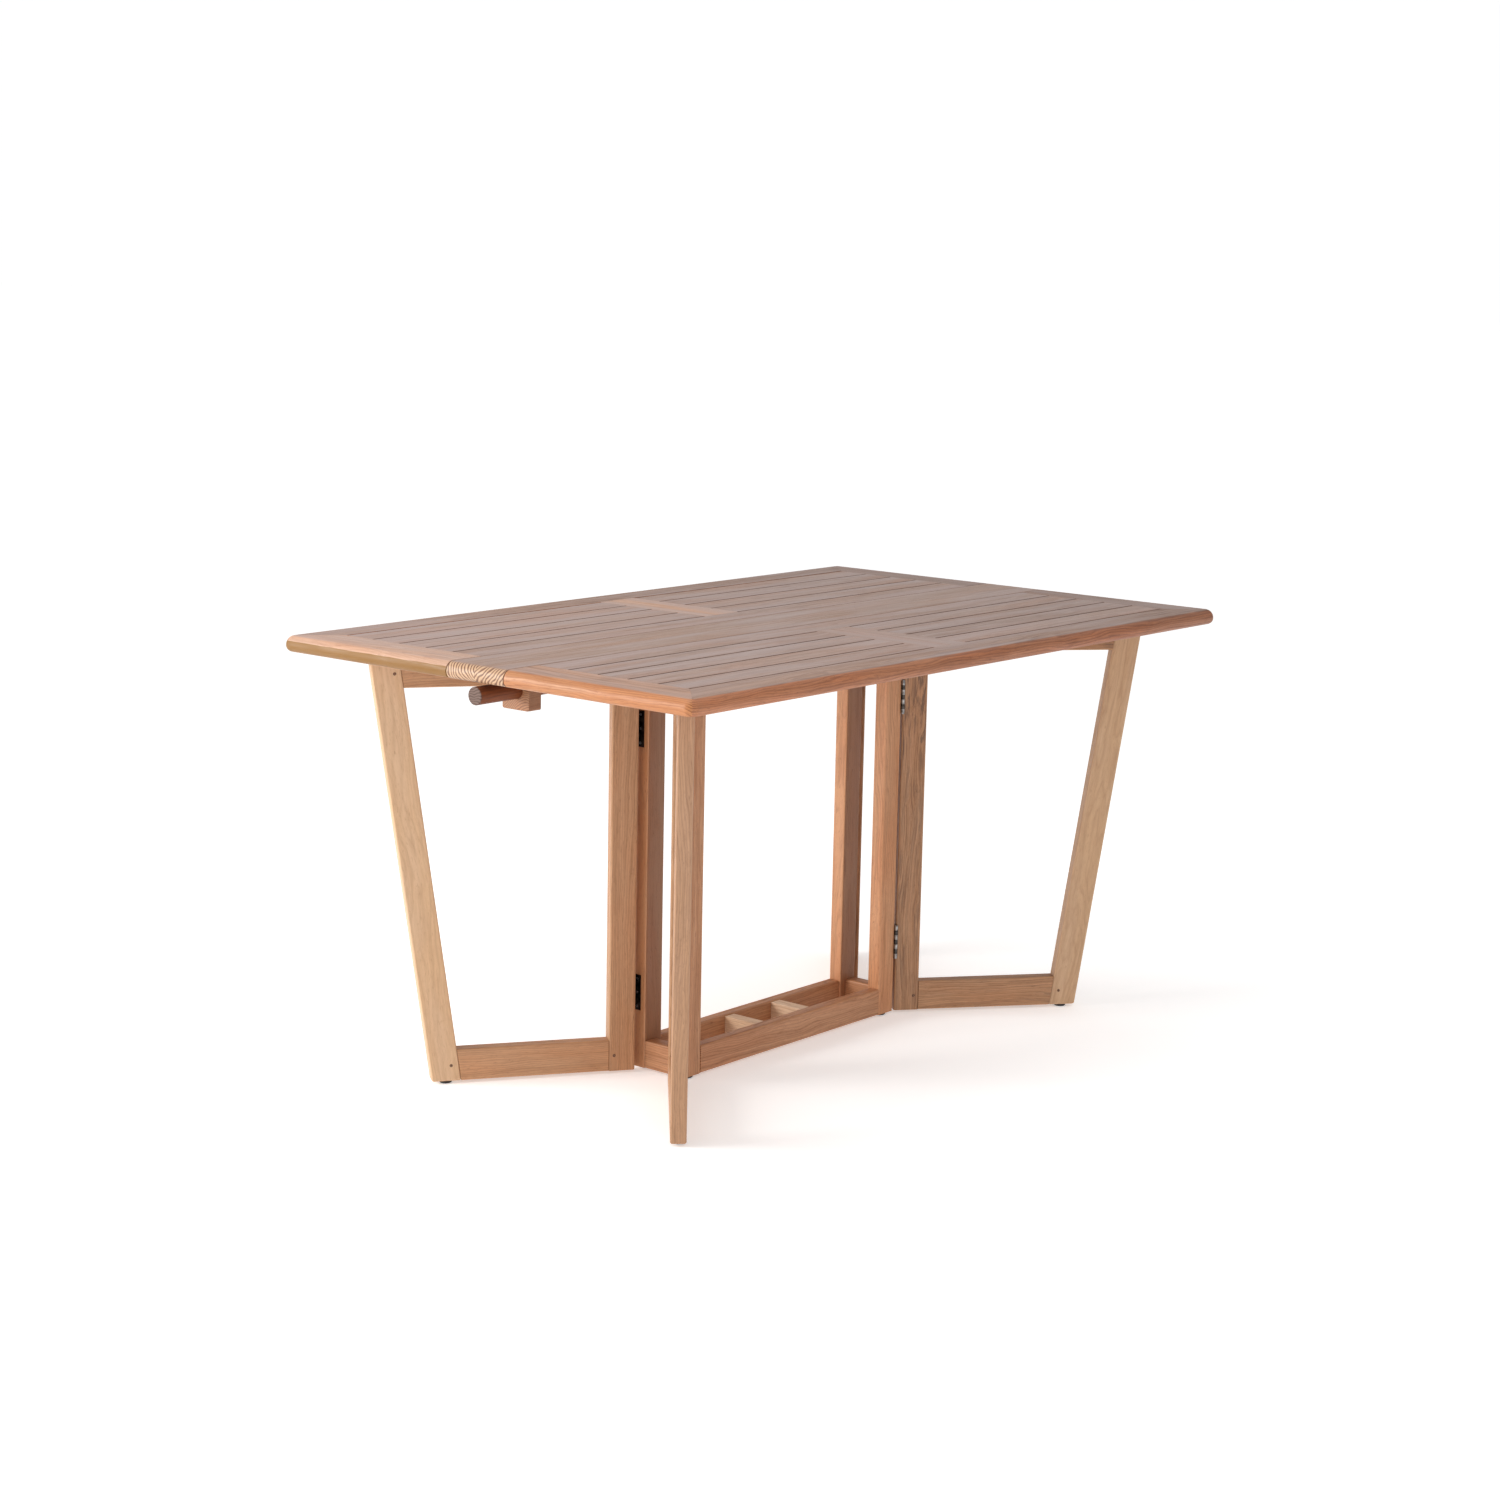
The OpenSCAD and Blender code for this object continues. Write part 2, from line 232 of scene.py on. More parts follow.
LOG_REACH = 20  # pieces come from places up to this far along the grain, in metres
TONE_SPREAD = 0.05  # how much darker or lighter than meant a piece may come out
LEAST_STAIN = 0.3  # share of its stain that a piece has at its low end; the high end has it all
SIDE_FACE = 0.75  # faces whose normal has at least this much Y take the painted shade
FLAT_FACE, ROUND_SPAN = 0.985, 0.15  # where the edge wear and painted highlight start, and how fast they grow, as a face tilts
PITH_ACROSS = 0.04  # the range of random hearts, in metres
PITH_THROUGH = (0.035, 0.12)


def wood_piece(
    name, bm, axes, body, slot, material, nodes=(), *,
    pith, lean=0.0, tone=0.0, painted_falloff=0.0, stain=0.0, gaps=0.0, gap_side=0, wear_and_highlight=0.0,
):
    """A wooden piece. Its grain runs along local X, or along local Z with lean as the slope to X.
    pith is how far the log's heart lies from the piece's own middle, across and through it. tone above 0
    is darker, and fade is a painted shade: how much darker it gets from one end to the other, where the
    light falls off. stain is the share of dark marks, gaps a painted shade on the local Y faces, on both
    or on the one that gap_side picks, and worn the lightening of the rounded edges, partly wear and
    partly a painted highlight."""
    grain = bm.verts.layers.float_vector.new("grain")
    tones = bm.verts.layers.float.new("tone")
    stains = bm.verts.layers.float.new("stain")
    ups = bm.verts.layers.float.new("up")
    end = bm.faces.layers.float.new("end")
    painted_shade = bm.faces.layers.float.new("painted_shade")
    edge = bm.faces.layers.float.new("edge")
    low, high = corners_of([v.co for v in bm.verts])
    middle = (low + high) / 2
    start = dice.uniform(-LOG_REACH, LOG_REACH)
    tone += dice.uniform(-TONE_SPREAD, TONE_SPREAD)
    bm.normal_update()
    turn = axes.to_3x3()
    for v in bm.verts:
        along, across, through = v.co - middle
        if lean:
            along, across, through = through, along - lean * through, across
        v[grain] = (along + start, across + pith[0], through + pith[1])
        run = (v.co.x - low.x) / (high.x - low.x)
        # fade paints shade that deepens towards the high end, where the light falls off
        v[tones] = tone + painted_falloff * (run - 0.5)
        v[stains] = stain * (LEAST_STAIN + (1 - LEAST_STAIN) * run)
        v[ups] = max((turn @ f.normal).z for f in v.link_faces)
    axis = Vector((0, 0, 1)) if lean else Vector((1, 0, 0))
    for face in bm.faces:
        face[end] = abs(face.normal.dot(axis))
        # Y faces get painted shade: the board faces in the grooves, the posts' inner faces and the rod
        # blocks' sides.
        sideways = face.normal.y * gap_side if gap_side else abs(face.normal.y)
        face[painted_shade] = gaps if sideways > SIDE_FACE else 0.0
        # rounded faces get lighter: partly wear, partly a painted highlight
        flatness = max(abs(n) for n in face.normal)
        face[edge] = min(max((FLAT_FACE - flatness) / ROUND_SPAN, 0.0), 1.0) * wear_and_highlight
    finish_mesh(name, bm, axes, body, material, nodes)


def random_pith():
    """A heart some way below or above the board, as in flat-sawn timber."""
    return (dice.uniform(-PITH_ACROSS, PITH_ACROSS), dice.choice((-1, 1)) * dice.uniform(*PITH_THROUGH))


# ---- materials ----


def srgb(red, green, blue):
    def linear(c):
        return c / 12.92 if c <= 0.04045 else ((c + 0.055) / 1.055) ** 2.4

    return (linear(red), linear(green), linear(blue), 1.0)


def fill_ramp(ramp, stops):
    """Sets a colour ramp to greys, as (place, shade) pairs from its first to its last stop."""
    for at, _ in stops[1:-1]:
        ramp.elements.new(at)
    for element, (at, shade) in zip(ramp.elements, stops):
        element.position = at
        element.color = (shade, shade, shade, 1)


class Graph:
    """Short calls that build one material's nodes."""

    def __init__(self, name):
        self.material = bpy.data.materials.new(name)
        self.material.use_nodes = True
        self.tree = self.material.node_tree
        self.shader = self.tree.nodes["Principled BSDF"]

    def put(self, socket, value):
        if isinstance(value, bpy.types.NodeSocket):
            self.tree.links.new(value, socket)
        else:
            socket.default_value = value

    def surface(self, name, value):
        self.put(self.shader.inputs[name], value)

    def node(self, kind, **settings):
        node = self.tree.nodes.new(kind)
        for key, value in settings.items():
            setattr(node, key, value)
        return node

    def attribute(self, name, output="Fac"):
        return self.node("ShaderNodeAttribute", attribute_name=name).outputs[output]

    def math(self, operation, a, b=0.0, clamp=False):
        node = self.node("ShaderNodeMath", operation=operation, use_clamp=clamp)
        self.put(node.inputs[0], a)
        self.put(node.inputs[1], b)
        return node.outputs[0]

    def vector(self, operation, a, b=(0, 0, 0)):
        node = self.node("ShaderNodeVectorMath", operation=operation)
        self.put(node.inputs[0], a)
        self.put(node.inputs[1], b)
        return node.outputs["Value" if operation == "LENGTH" else "Vector"]

    def noise(self, vector, detail=2.0, roughness=0.5, output="Fac", scale=1.0):
        node = self.node("ShaderNodeTexNoise", noise_dimensions="3D")
        self.put(node.inputs["Vector"], vector)
        node.inputs["Scale"].default_value = scale
        node.inputs["Detail"].default_value = detail
        node.inputs["Roughness"].default_value = roughness
        return node.outputs[output]

    def spread(self, value, low, high, to_low=0.0, to_high=1.0):
        node = self.node("ShaderNodeMapRange", clamp=True, interpolation_type="SMOOTHSTEP")
        for i, x in enumerate((value, low, high, to_low, to_high)):
            self.put(node.inputs[i], x)
        return node.outputs[0]

    def ramp(self, value, stops):
        node = self.node("ShaderNodeValToRGB")
        fill_ramp(node.color_ramp, stops)
        self.put(node.inputs[0], value)
        return node.outputs["Color"]

    def mix(self, factor, a, b):
        node = self.node("ShaderNodeMix", data_type="RGBA")
        self.put(node.inputs[0], factor)
        self.put(node.inputs[6], a)
        self.put(node.inputs[7], b)
        return node.outputs[2]

    def bump(self, height, strength, distance):
        node = self.node("ShaderNodeBump")
        node.inputs["Strength"].default_value = strength
        node.inputs["Distance"].default_value = distance
        self.put(node.inputs["Height"], height)
        self.surface("Normal", node.outputs[0])


# One growth ring from its start to its end, as (place, darkness).
RING_STOPS = ((0.0, 0.35), (0.12, 0.0), (0.55, 0.2), (0.88, 1.0), (1.0, 0.35))

# Noise scales along, across and through the grain, per metre.
RING_DRIFT = (2.6, 12, 12)
RING_WOBBLE = (5, 45, 45)
STREAKS = (1.8, 170, 170)
DASHES = (45, 430, 430)
FIBRES = (30, 1500, 1500)
PORES = (70, 1100, 1100)
WARM_CLOUDS = (3.5, 22, 22)
END_PATCHES = (0, 70, 70)
BLOOM_AND_SHEEN = (2.2, 26, 26)
STAIN_MARKS = (2.6, 240, 240)
STAIN_PATCHES = (3, 20, 20)

DRIFT_REACH = 0.055  # how far the heart wanders from a straight line, in metres
# grey laid on upward faces: partly weathered wood, partly a painted sheen
PATINA_AND_SHEEN_GREY = srgb(0.66, 0.59, 0.58)
STAIN_BROWN = srgb(0.22, 0.17, 0.15)
# brown of the painted shade on side faces
PAINTED_SHADE_BROWN = srgb(0.2, 0.12, 0.09)


def wood(
    name, light, dark, warm, rings=0.3, ring_w=4.2 * MM, streaks=0.35, dashes=0.5,
    rough=0.48, gloss=0.5, end_shades=None, upper=None, patina_and_sheen=0.0, band=None,
):
    """Sawn and oiled hardwood: growth rings about a heart, long streaks, short dashes and open pores.
    end_shades are the light and dark rings of the end grain, upper the light and dark shades of
    upward faces, greyer partly from weathering and partly as a painted sheen, patina the share of grey
    on them, likewise partly weathering and partly a painted sheen, and band the shade of a streak of
    other wood where the piece has a "band" attribute."""
    g = Graph(name)
    grain = g.attribute("grain", "Vector")
    tone = g.attribute("tone")
    end = g.spread(g.attribute("end"), 0.12, 0.55)
    along = g.math("SUBTRACT", 1.0, end)

    # growth rings about a wandering heart
    drift = g.noise(g.vector("MULTIPLY", grain, RING_DRIFT), detail=3, output="Color")
    drift = g.vector("SUBTRACT", drift, (0.5, 0.5, 0.5))
    point = g.vector("ADD", grain, g.vector("MULTIPLY", drift, (0, DRIFT_REACH, DRIFT_REACH)))
    radius = g.vector("LENGTH", g.vector("MULTIPLY", point, (0, 1, 1)))
    wobble = g.noise(g.vector("MULTIPLY", point, RING_WOBBLE), detail=3)
    turns = g.math("ADD", g.math("DIVIDE", radius, ring_w), g.math("MULTIPLY", wobble, 0.45))
    ring = g.ramp(g.math("FRACT", turns), RING_STOPS)

    # long streaks, short dashes and fine fibres, which with the rings make the darkness
    streak = g.noise(g.vector("MULTIPLY", point, STREAKS), detail=5, roughness=0.6)
    streak = g.spread(streak, 0.3, 0.7)
    dash = g.noise(g.vector("MULTIPLY", point, DASHES), detail=3, roughness=0.65)
    fibre = g.noise(g.vector("MULTIPLY", point, FIBRES), detail=2, roughness=0.6)
    ring_share = g.math("MULTIPLY", ring, g.spread(end, 0, 1, rings, 0.95))
    streak_share = g.math("MULTIPLY", g.math("MULTIPLY", streak, along), streaks)
    amount = g.math("ADD", ring_share, streak_share)
    amount = g.math("ADD", amount, g.math("MULTIPLY", g.math("SUBTRACT", dash, 0.45), dashes))
    amount = g.math("ADD", amount, g.math("MULTIPLY", g.math("SUBTRACT", fibre, 0.5), 0.3))
    amount = g.math("ADD", amount, tone, clamp=True)
    colour = g.mix(amount, light, dark)

    # clouds of warmer wood, and pores
    cloud = g.spread(g.noise(g.vector("MULTIPLY", grain, WARM_CLOUDS), detail=3), 0.38, 0.62)
    colour = g.mix(g.math("MULTIPLY", cloud, 0.6), colour, g.mix(amount, warm, dark))
    pores = g.noise(g.vector("MULTIPLY", point, PORES), detail=2)
    pores = g.spread(pores, 0.6, 0.7)
    colour = g.mix(g.math("MULTIPLY", pores, 0.5), colour, dark)

    if end_shades:
        speck = g.math("MULTIPLY", g.math("SUBTRACT", fibre, 0.5), 0.5)
        patch = g.noise(g.vector("MULTIPLY", grain, END_PATCHES), detail=3)
        patch = g.spread(patch, 0.3, 0.55, 0.7, 1.0)
        ends = g.math("MULTIPLY", g.spread(ring, 0.1, 0.45), patch)
        ends = g.mix(g.math("ADD", ends, speck, clamp=True), *end_shades)
        colour = g.mix(end, colour, ends)

    # upward faces greyer: partly weathering, partly a painted sheen
    upward = g.spread(g.attribute("up"), 0.95, 0.995)
    if upper:
        colour = g.mix(upward, colour, g.mix(amount, *upper))
    if patina_and_sheen:
        bloom_and_sheen = g.noise(g.vector("MULTIPLY", grain, BLOOM_AND_SHEEN), detail=4, roughness=0.6)
        bloom_and_sheen = g.math("MULTIPLY", g.spread(bloom_and_sheen, 0.36, 0.64), g.math("MULTIPLY", along, patina_and_sheen))
        colour = g.mix(g.math("MULTIPLY", bloom_and_sheen, upward), colour, PATINA_AND_SHEEN_GREY)

    if band:
        shade = g.math("MULTIPLY", g.math("SUBTRACT", streak, 0.5), 0.3)
        shade = g.math("ADD", g.attribute("band"), shade)
        colour = g.mix(g.spread(shade, 0.3, 0.65, 0, 0.95), colour, band)

    # stains, worn edges with a painted highlight, and painted shade on side faces
    marks = g.noise(g.vector("MULTIPLY", point, STAIN_MARKS), detail=6, roughness=0.72)
    patches = g.noise(g.vector("MULTIPLY", grain, STAIN_PATCHES), detail=2)
    patches = g.spread(patches, 0.36, 0.56, 0.55, 1)
    stain = g.math("MULTIPLY", g.attribute("stain"), patches)
    marks = g.math("MULTIPLY", g.spread(marks, 0.44, 0.62), stain)
    colour = g.mix(marks, colour, STAIN_BROWN)
    # rounded edges lighter: partly wear, partly a painted highlight
    colour = g.mix(g.math("MULTIPLY", g.attribute("edge"), 0.4), colour, light)
    # painted shade on the chosen side faces
    colour = g.mix(g.attribute("painted_shade"), colour, PAINTED_SHADE_BROWN)

    g.surface("Base Color", colour)
    g.surface("Roughness", g.spread(streak, 0, 1, rough - 0.05, rough + 0.09))
    g.surface("Specular IOR Level", gloss)
    relief = g.math("ADD", g.math("MULTIPLY", dash, 0.6), g.math("MULTIPLY", ring, 0.3))
    relief = g.math("SUBTRACT", relief, g.math("MULTIPLY", pores, 0.7))
    g.bump(relief, 0.4, 0.3 * MM)
    return g.material


TARNISH = 140  # noise scales per metre
SCRATCHES = (700, 700, 4000)
DUST = 220
MOULD_TEXTURE = 1800
TARNISH_BROWN = srgb(0.2, 0.18, 0.17)
DUST_GREY = srgb(0.35, 0.32, 0.3)
# near-blacks of the hinge plates: painted shade
PLATE_SHADE_BLACKS = (srgb(0.24, 0.23, 0.23), srgb(0.36, 0.34, 0.32))
KNUCKLE_END, PLATE_START = 3.3 * MM, 3.9 * MM  # from the pin


def metal(name, base, rough, pin=None, plane=None):
    """Dull rolled metal with fine scratches and tarnish. Given a pin, only its knuckles keep the base
    shade and the plates beyond them are painted near-black, a painted shade for plates tucked in shadow.
    plane picks the two axes across the pin."""
    g = Graph(name)
    place = g.node("ShaderNodeTexCoord").outputs["Object"]
    tarnish = g.spread(g.noise(place, detail=4, scale=TARNISH), 0.35, 0.7)
    scratch = g.noise(g.vector("MULTIPLY", place, SCRATCHES), detail=2)
    colour = g.mix(g.math("MULTIPLY", tarnish, 0.6), base, TARNISH_BROWN)
    if pin:
        off = g.vector("SUBTRACT", g.vector("ABSOLUTE", place), pin)
        off = g.vector("LENGTH", g.vector("MULTIPLY", off, plane))
        plate = g.spread(off, KNUCKLE_END, PLATE_START)
        # plates beyond the knuckles painted near-black as shade
        colour = g.mix(plate, colour, g.mix(tarnish, *PLATE_SHADE_BLACKS))
    g.surface("Base Color", colour)
    g.surface("Roughness", g.spread(tarnish, 0, 1, rough, rough + 0.25))
    g.surface("Metallic", 1.0)
    g.bump(scratch, 0.2, 0.05 * MM)
    return g.material


def plastic(name, base):
    """Black moulded plastic, scuffed and dusty."""
    g = Graph(name)
    place = g.node("ShaderNodeTexCoord").outputs["Object"]
    dust = g.spread(g.noise(place, detail=5, scale=DUST), 0.45, 0.75)
    g.surface("Base Color", g.mix(g.math("MULTIPLY", dust, 0.35), base, DUST_GREY))
    g.surface("Roughness", g.spread(dust, 0, 1, 0.4, 0.75))
    g.bump(g.noise(place, detail=3, scale=MOULD_TEXTURE), 0.15, 0.05 * MM)
    return g.material


# The top's woods are greyer than the frame's, and upper and patina grey their upward faces further:
# partly the wood's own colour and weathering, partly a painted sheen.
TOP_WOOD = wood(
    "top_wood", srgb(0.65, 0.535, 0.48), srgb(0.43, 0.32, 0.26), srgb(0.66, 0.50, 0.42),
    rings=0.2, streaks=0.25, dashes=0.35, rough=0.44, patina_and_sheen=0.55,
)
CENTRE_WOOD = wood(
    "centre_wood", srgb(0.63, 0.51, 0.44), srgb(0.44, 0.31, 0.25), srgb(0.65, 0.50, 0.41),
    rings=0.15, ring_w=6.5 * MM, streaks=0.25, dashes=0.35, rough=0.44, patina_and_sheen=0.5,
    end_shades=(srgb(0.77, 0.63, 0.50), srgb(0.45, 0.30, 0.21)),
)
DARK_RAIL_WOOD = wood(
    "dark_rail_wood", srgb(0.56, 0.44, 0.38), srgb(0.38, 0.27, 0.21), srgb(0.58, 0.42, 0.34),
    rings=0.2, streaks=0.25, rough=0.44, patina_and_sheen=0.45,
)
PALE_RAIL_WOOD = wood(
    "pale_rail_wood", srgb(0.80, 0.66, 0.57), srgb(0.60, 0.43, 0.33), srgb(0.79, 0.60, 0.48),
    rings=0.25, streaks=0.3, rough=0.44, gloss=0.4, patina_and_sheen=0.5, band=srgb(0.50, 0.34, 0.08),
)
ORANGE_RAIL_WOOD = wood(
    "orange_rail_wood", srgb(0.75, 0.53, 0.36), srgb(0.54, 0.31, 0.17), srgb(0.77, 0.49, 0.29),
    rings=0.35, streaks=0.4, rough=0.44, gloss=0.4, patina_and_sheen=0.3,
    upper=(srgb(0.74, 0.56, 0.45), srgb(0.48, 0.34, 0.26)),
)
EDGE_WOOD = wood(
    "outer_stile_wood", srgb(0.73, 0.48, 0.33), srgb(0.42, 0.24, 0.15), srgb(0.74, 0.44, 0.27),
    rings=0.4, streaks=0.4, rough=0.44, gloss=0.4, patina_and_sheen=0.5,
    upper=(srgb(0.66, 0.52, 0.44), srgb(0.42, 0.30, 0.24)),
)
FRAME_WOOD = wood(
    "frame_wood", srgb(0.80, 0.59, 0.43), srgb(0.52, 0.32, 0.19), srgb(0.79, 0.53, 0.35),
)
GATE_WOOD = wood(
    "gate_wood", srgb(0.77, 0.59, 0.44), srgb(0.52, 0.35, 0.22), srgb(0.77, 0.55, 0.38),
)
LEG_WOOD = wood(
    "leg_wood", srgb(0.84, 0.70, 0.56), srgb(0.66, 0.50, 0.37), srgb(0.84, 0.68, 0.51),
    rings=0.2, streaks=0.25,
)
BROWN_LEG_WOOD = wood(
    "brown_leg_wood", srgb(0.74, 0.57, 0.44), srgb(0.52, 0.37, 0.26), srgb(0.74, 0.56, 0.41),
)
BLOCK_WOOD = wood(
    "block_wood", srgb(0.70, 0.51, 0.37), srgb(0.48, 0.31, 0.20), srgb(0.72, 0.49, 0.33),
)
DIVIDER_WOOD = wood(
    "divider_wood", srgb(0.92, 0.80, 0.68), srgb(0.70, 0.56, 0.44), srgb(0.92, 0.77, 0.61),
)
# dark brown wood, darkened further as a painted shade for the rod's place under the top
ROD_WOOD = wood(
    "rod_wood", srgb(0.50, 0.27, 0.14), srgb(0.26, 0.12, 0.06), srgb(0.50, 0.25, 0.11),
    gloss=0.3, end_shades=(srgb(0.45, 0.36, 0.32), srgb(0.30, 0.21, 0.18)),
)
PEG_WOOD = wood(
    "peg_wood", srgb(0.50, 0.36, 0.26), srgb(0.28, 0.18, 0.12), srgb(0.48, 0.32, 0.22),
)

# The hinges mirror each other, so one pin's distances from the middle planes serve for all of them.
GATE_PIN = tuple(abs(x) for x in JOINTS["gate_far_back"]["pos_m"])
LEAF_PIN = tuple(abs(x) for x in JOINTS["leaf_back"]["pos_m"])
STEEL = srgb(0.70, 0.69, 0.68)
# a darker copy of the steel for the gate-side hinge leaves: painted shade
SHADED_STEEL = srgb(0.36, 0.35, 0.34)
GATE_HINGE_METAL = metal("gate_hinge_metal", STEEL, 0.32, GATE_PIN, (1, 1, 0))
MOVING_HINGE_METAL = metal("moving_hinge_metal", SHADED_STEEL, 0.42, GATE_PIN, (1, 1, 0))
LEAF_HINGE_METAL = metal("leaf_hinge_metal", STEEL, 0.32, LEAF_PIN, (0, 1, 1))
SCREW_METAL = metal("screw_metal", srgb(0.78, 0.79, 0.82), 0.26)
GLIDE_PLASTIC = plastic("glide_plastic", srgb(0.09, 0.09, 0.09))


# ---- table top ----

TOP_Z = CAD_HIGH.z
UNDER_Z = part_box("centre_board_front")[0].z
HALF_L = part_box("centre_board_back")[1].x
HALF_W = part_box("leaf_outer_stile_back")[1].y
CENTRE_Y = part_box("centre_board_back")[1].y
LEAF_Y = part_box("leaf_inner_stile_back")[0].y
OUTER_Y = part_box("leaf_outer_stile_back")[0].y
RAIL_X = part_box("leaf_end_rail_far_back")[0].x
MID_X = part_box("leaf_mid_rail_back")[1].x
UPPER_R = 16 * MM  # rounding of the top's upper edge
LOWER_R = 11.5 * MM
CORNER_R = 18 * MM  # rounding of its corners, seen from above
ARC_STEPS = 8
CORNER_STEPS = 7
# painted shade on the board faces inside the grooves of the top
GROOVE_SHADE = 0.6
SLAT_TONE = 0.16  # how much slats differ in tone


def outline(inset, height):
    """Rounded rectangle of the top, drawn inwards by inset."""
    radius = CORNER_R - inset
    points = []
    for quarter, (sx, sy) in enumerate(((1, 1), (-1, 1), (-1, -1), (1, -1))):
        centre = Vector((sx * (HALF_L - CORNER_R), sy * (HALF_W - CORNER_R), height))
        for i in range(CORNER_STEPS + 1):
            turn = math.pi / 2 * (quarter + i / CORNER_STEPS)
            points.append(centre + Vector((math.cos(turn), math.sin(turn), 0)) * radius)
    return points


def edge_steps():
    """(inset, height) from the underside up round both edges of the top."""
    turns = [math.pi / 2 * i / ARC_STEPS for i in range(ARC_STEPS + 1)]
    lower = [(LOWER_R * (1 - math.sin(t)), UNDER_Z + LOWER_R * (1 - math.cos(t))) for t in turns]
    upper = [(UPPER_R * (1 - math.cos(t)), TOP_Z - UPPER_R * (1 - math.sin(t))) for t in turns]
    return lower + upper


def whole_top():
    """The top as one slab, from which each member is cut."""
    bm = bmesh.new()
    rings = [[bm.verts.new(p) for p in outline(inset, z)] for inset, z in edge_steps()]
    count = len(rings[0])
    bm.faces.new(rings[0][::-1])
    bm.faces.new(rings[-1])
    for a, b in zip(rings, rings[1:]):
        for i in range(count):
            j = (i + 1) % count
            bm.faces.new((a[i], a[j], b[j], b[i]))
    return bm


def top_member(cuts):
    """The part of the top on the inner side of every cut, a list of (point, normal)."""
    bm = whole_top()
    for point, normal in cuts:
        keep_below(bm, Vector((*point, UNDER_Z)), Vector((*normal, 0)))
    round_edges(bm, sharp_edges(bm), JOINT_R, 2)
    return bm


def mitre(sx, sy, side):
    """Cut at the joint of outer stile and end rail; side 1 keeps the rail, -1 the stile."""
    run = Vector((HALF_L - RAIL_X, HALF_W - OUTER_Y))
    normal = Vector((-run.y * sx, run.x * sy)) * side
    return (sx * HALF_L, sy * HALF_W), normal.normalized()


def centre_board(side):
    sy = SIDES[side]
    bm = top_member([((0, sy * CENTRE_Y), (0, sy)), ((0, 0), (0, -sy))])
    wood_piece(
        f"centre_board_{side}_wood", bm, ALONG_X, "frame", "top_board_wood", CENTRE_WOOD,
        [f"centre_board_{side}"], pith=(sy * 0.085, -0.03), tone=-0.03,
    )


def outer_stile(side):
    sy = SIDES[side]
    bm = top_member([((0, sy * OUTER_Y), (0, -sy)), mitre(1, sy, -1), mitre(-1, sy, -1)])
    # The outer stiles get painted shade that deepens towards the far end, where the key light falls off.
    wood_piece(
        f"leaf_outer_stile_{side}_wood", bm, ALONG_X, "leaf_" + side, "top_board_wood", EDGE_WOOD,
        [f"leaf_outer_stile_{side}"], pith=(0.03, -0.06), tone=0.04, painted_falloff=0.4,
    )


END_RAIL_WOOD = {"near_back": PALE_RAIL_WOOD, "near_front": ORANGE_RAIL_WOOD}
MID_RAIL_WOOD = {"back": (PALE_RAIL_WOOD, 0.0), "front": (TOP_WOOD, -0.14)}
BAND_DEPTH = 8.5 * MM  # how far below the top the near back rail's golden streak starts
BAND_REACH = 6 * MM  # how far it goes in from the end


def end_rail(corner):
    sx, sy = CORNERS[corner]
    side = corner.split("_")[1]
    bm = top_member([((sx * RAIL_X, 0), (-sx, 0)), ((0, sy * LEAF_Y), (0, -sy)), mitre(sx, sy, 1)])
    if corner == "near_back":
        band = bm.verts.layers.float.new("band")
        for v in bm.verts:
            outer = abs(v.co.x) > HALF_L - BAND_REACH
            v[band] = 1.0 if outer and v.co.z < TOP_Z - BAND_DEPTH else 0.0
    bm.transform(ALONG_Y.inverted())
    wood_piece(
        f"leaf_end_rail_{corner}_wood", bm, ALONG_Y, "leaf_" + side, "leaf_rail_wood",
        END_RAIL_WOOD.get(corner, DARK_RAIL_WOOD), [f"leaf_end_rail_{corner}"], pith=random_pith(),
    )


def board(low, high, along_y=False):
    """Plain board of the top with softened groove edges."""
    bm = prism(low, high)
    direction = (0, 1, 0) if along_y else (1, 0, 0)
    round_edges(bm, edges_along(bm, direction), JOINT_R if along_y else GROOVE_R, 3)
    round_edges(bm, sharp_edges(bm), JOINT_R, 2)
    return bm


def inner_stile(side):
    low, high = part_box(f"leaf_inner_stile_{side}")
    wood_piece(
        f"leaf_inner_stile_{side}_wood", board(low, high), ALONG_X, "leaf_" + side,
        "top_board_wood", TOP_WOOD, [f"leaf_inner_stile_{side}"], pith=random_pith(), gaps=GROOVE_SHADE,
    )


def mid_rail(side):
    low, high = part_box(f"leaf_mid_rail_{side}")
    rail_wood, tone = MID_RAIL_WOOD[side]
    bm = board(low, high, along_y=True)
    bm.transform(ALONG_Y.inverted())
    wood_piece(
        f"leaf_mid_rail_{side}_wood", bm, ALONG_Y, "leaf_" + side,
        "leaf_rail_wood", rail_wood, [f"leaf_mid_rail_{side}"], pith=random_pith(), tone=tone,
    )


def slats(side):
    """The boards between the stiles, whose places across the leaf are read from the CAD node."""
    node = f"leaf_slats_{side}"
    points = [v.co for v in NODES[node].data.vertices]
    edges = sorted({round(p.y, 4) for p in points})
    for end, sx in ENDS.items():
        for i in range(0, len(edges), 2):
            low = Vector((min(sx * MID_X, sx * RAIL_X), edges[i], UNDER_Z))
            high = Vector((max(sx * MID_X, sx * RAIL_X), edges[i + 1], TOP_Z))
            wood_piece(
                f"slat_{end}_{side}_{i // 2 + 1}", board(low, high), ALONG_X, "leaf_" + side,
                "top_board_wood", TOP_WOOD, [node],
                pith=random_pith(), tone=dice.uniform(-SLAT_TONE, SLAT_TONE), gaps=GROOVE_SHADE,
            )


# ---- frame members ----


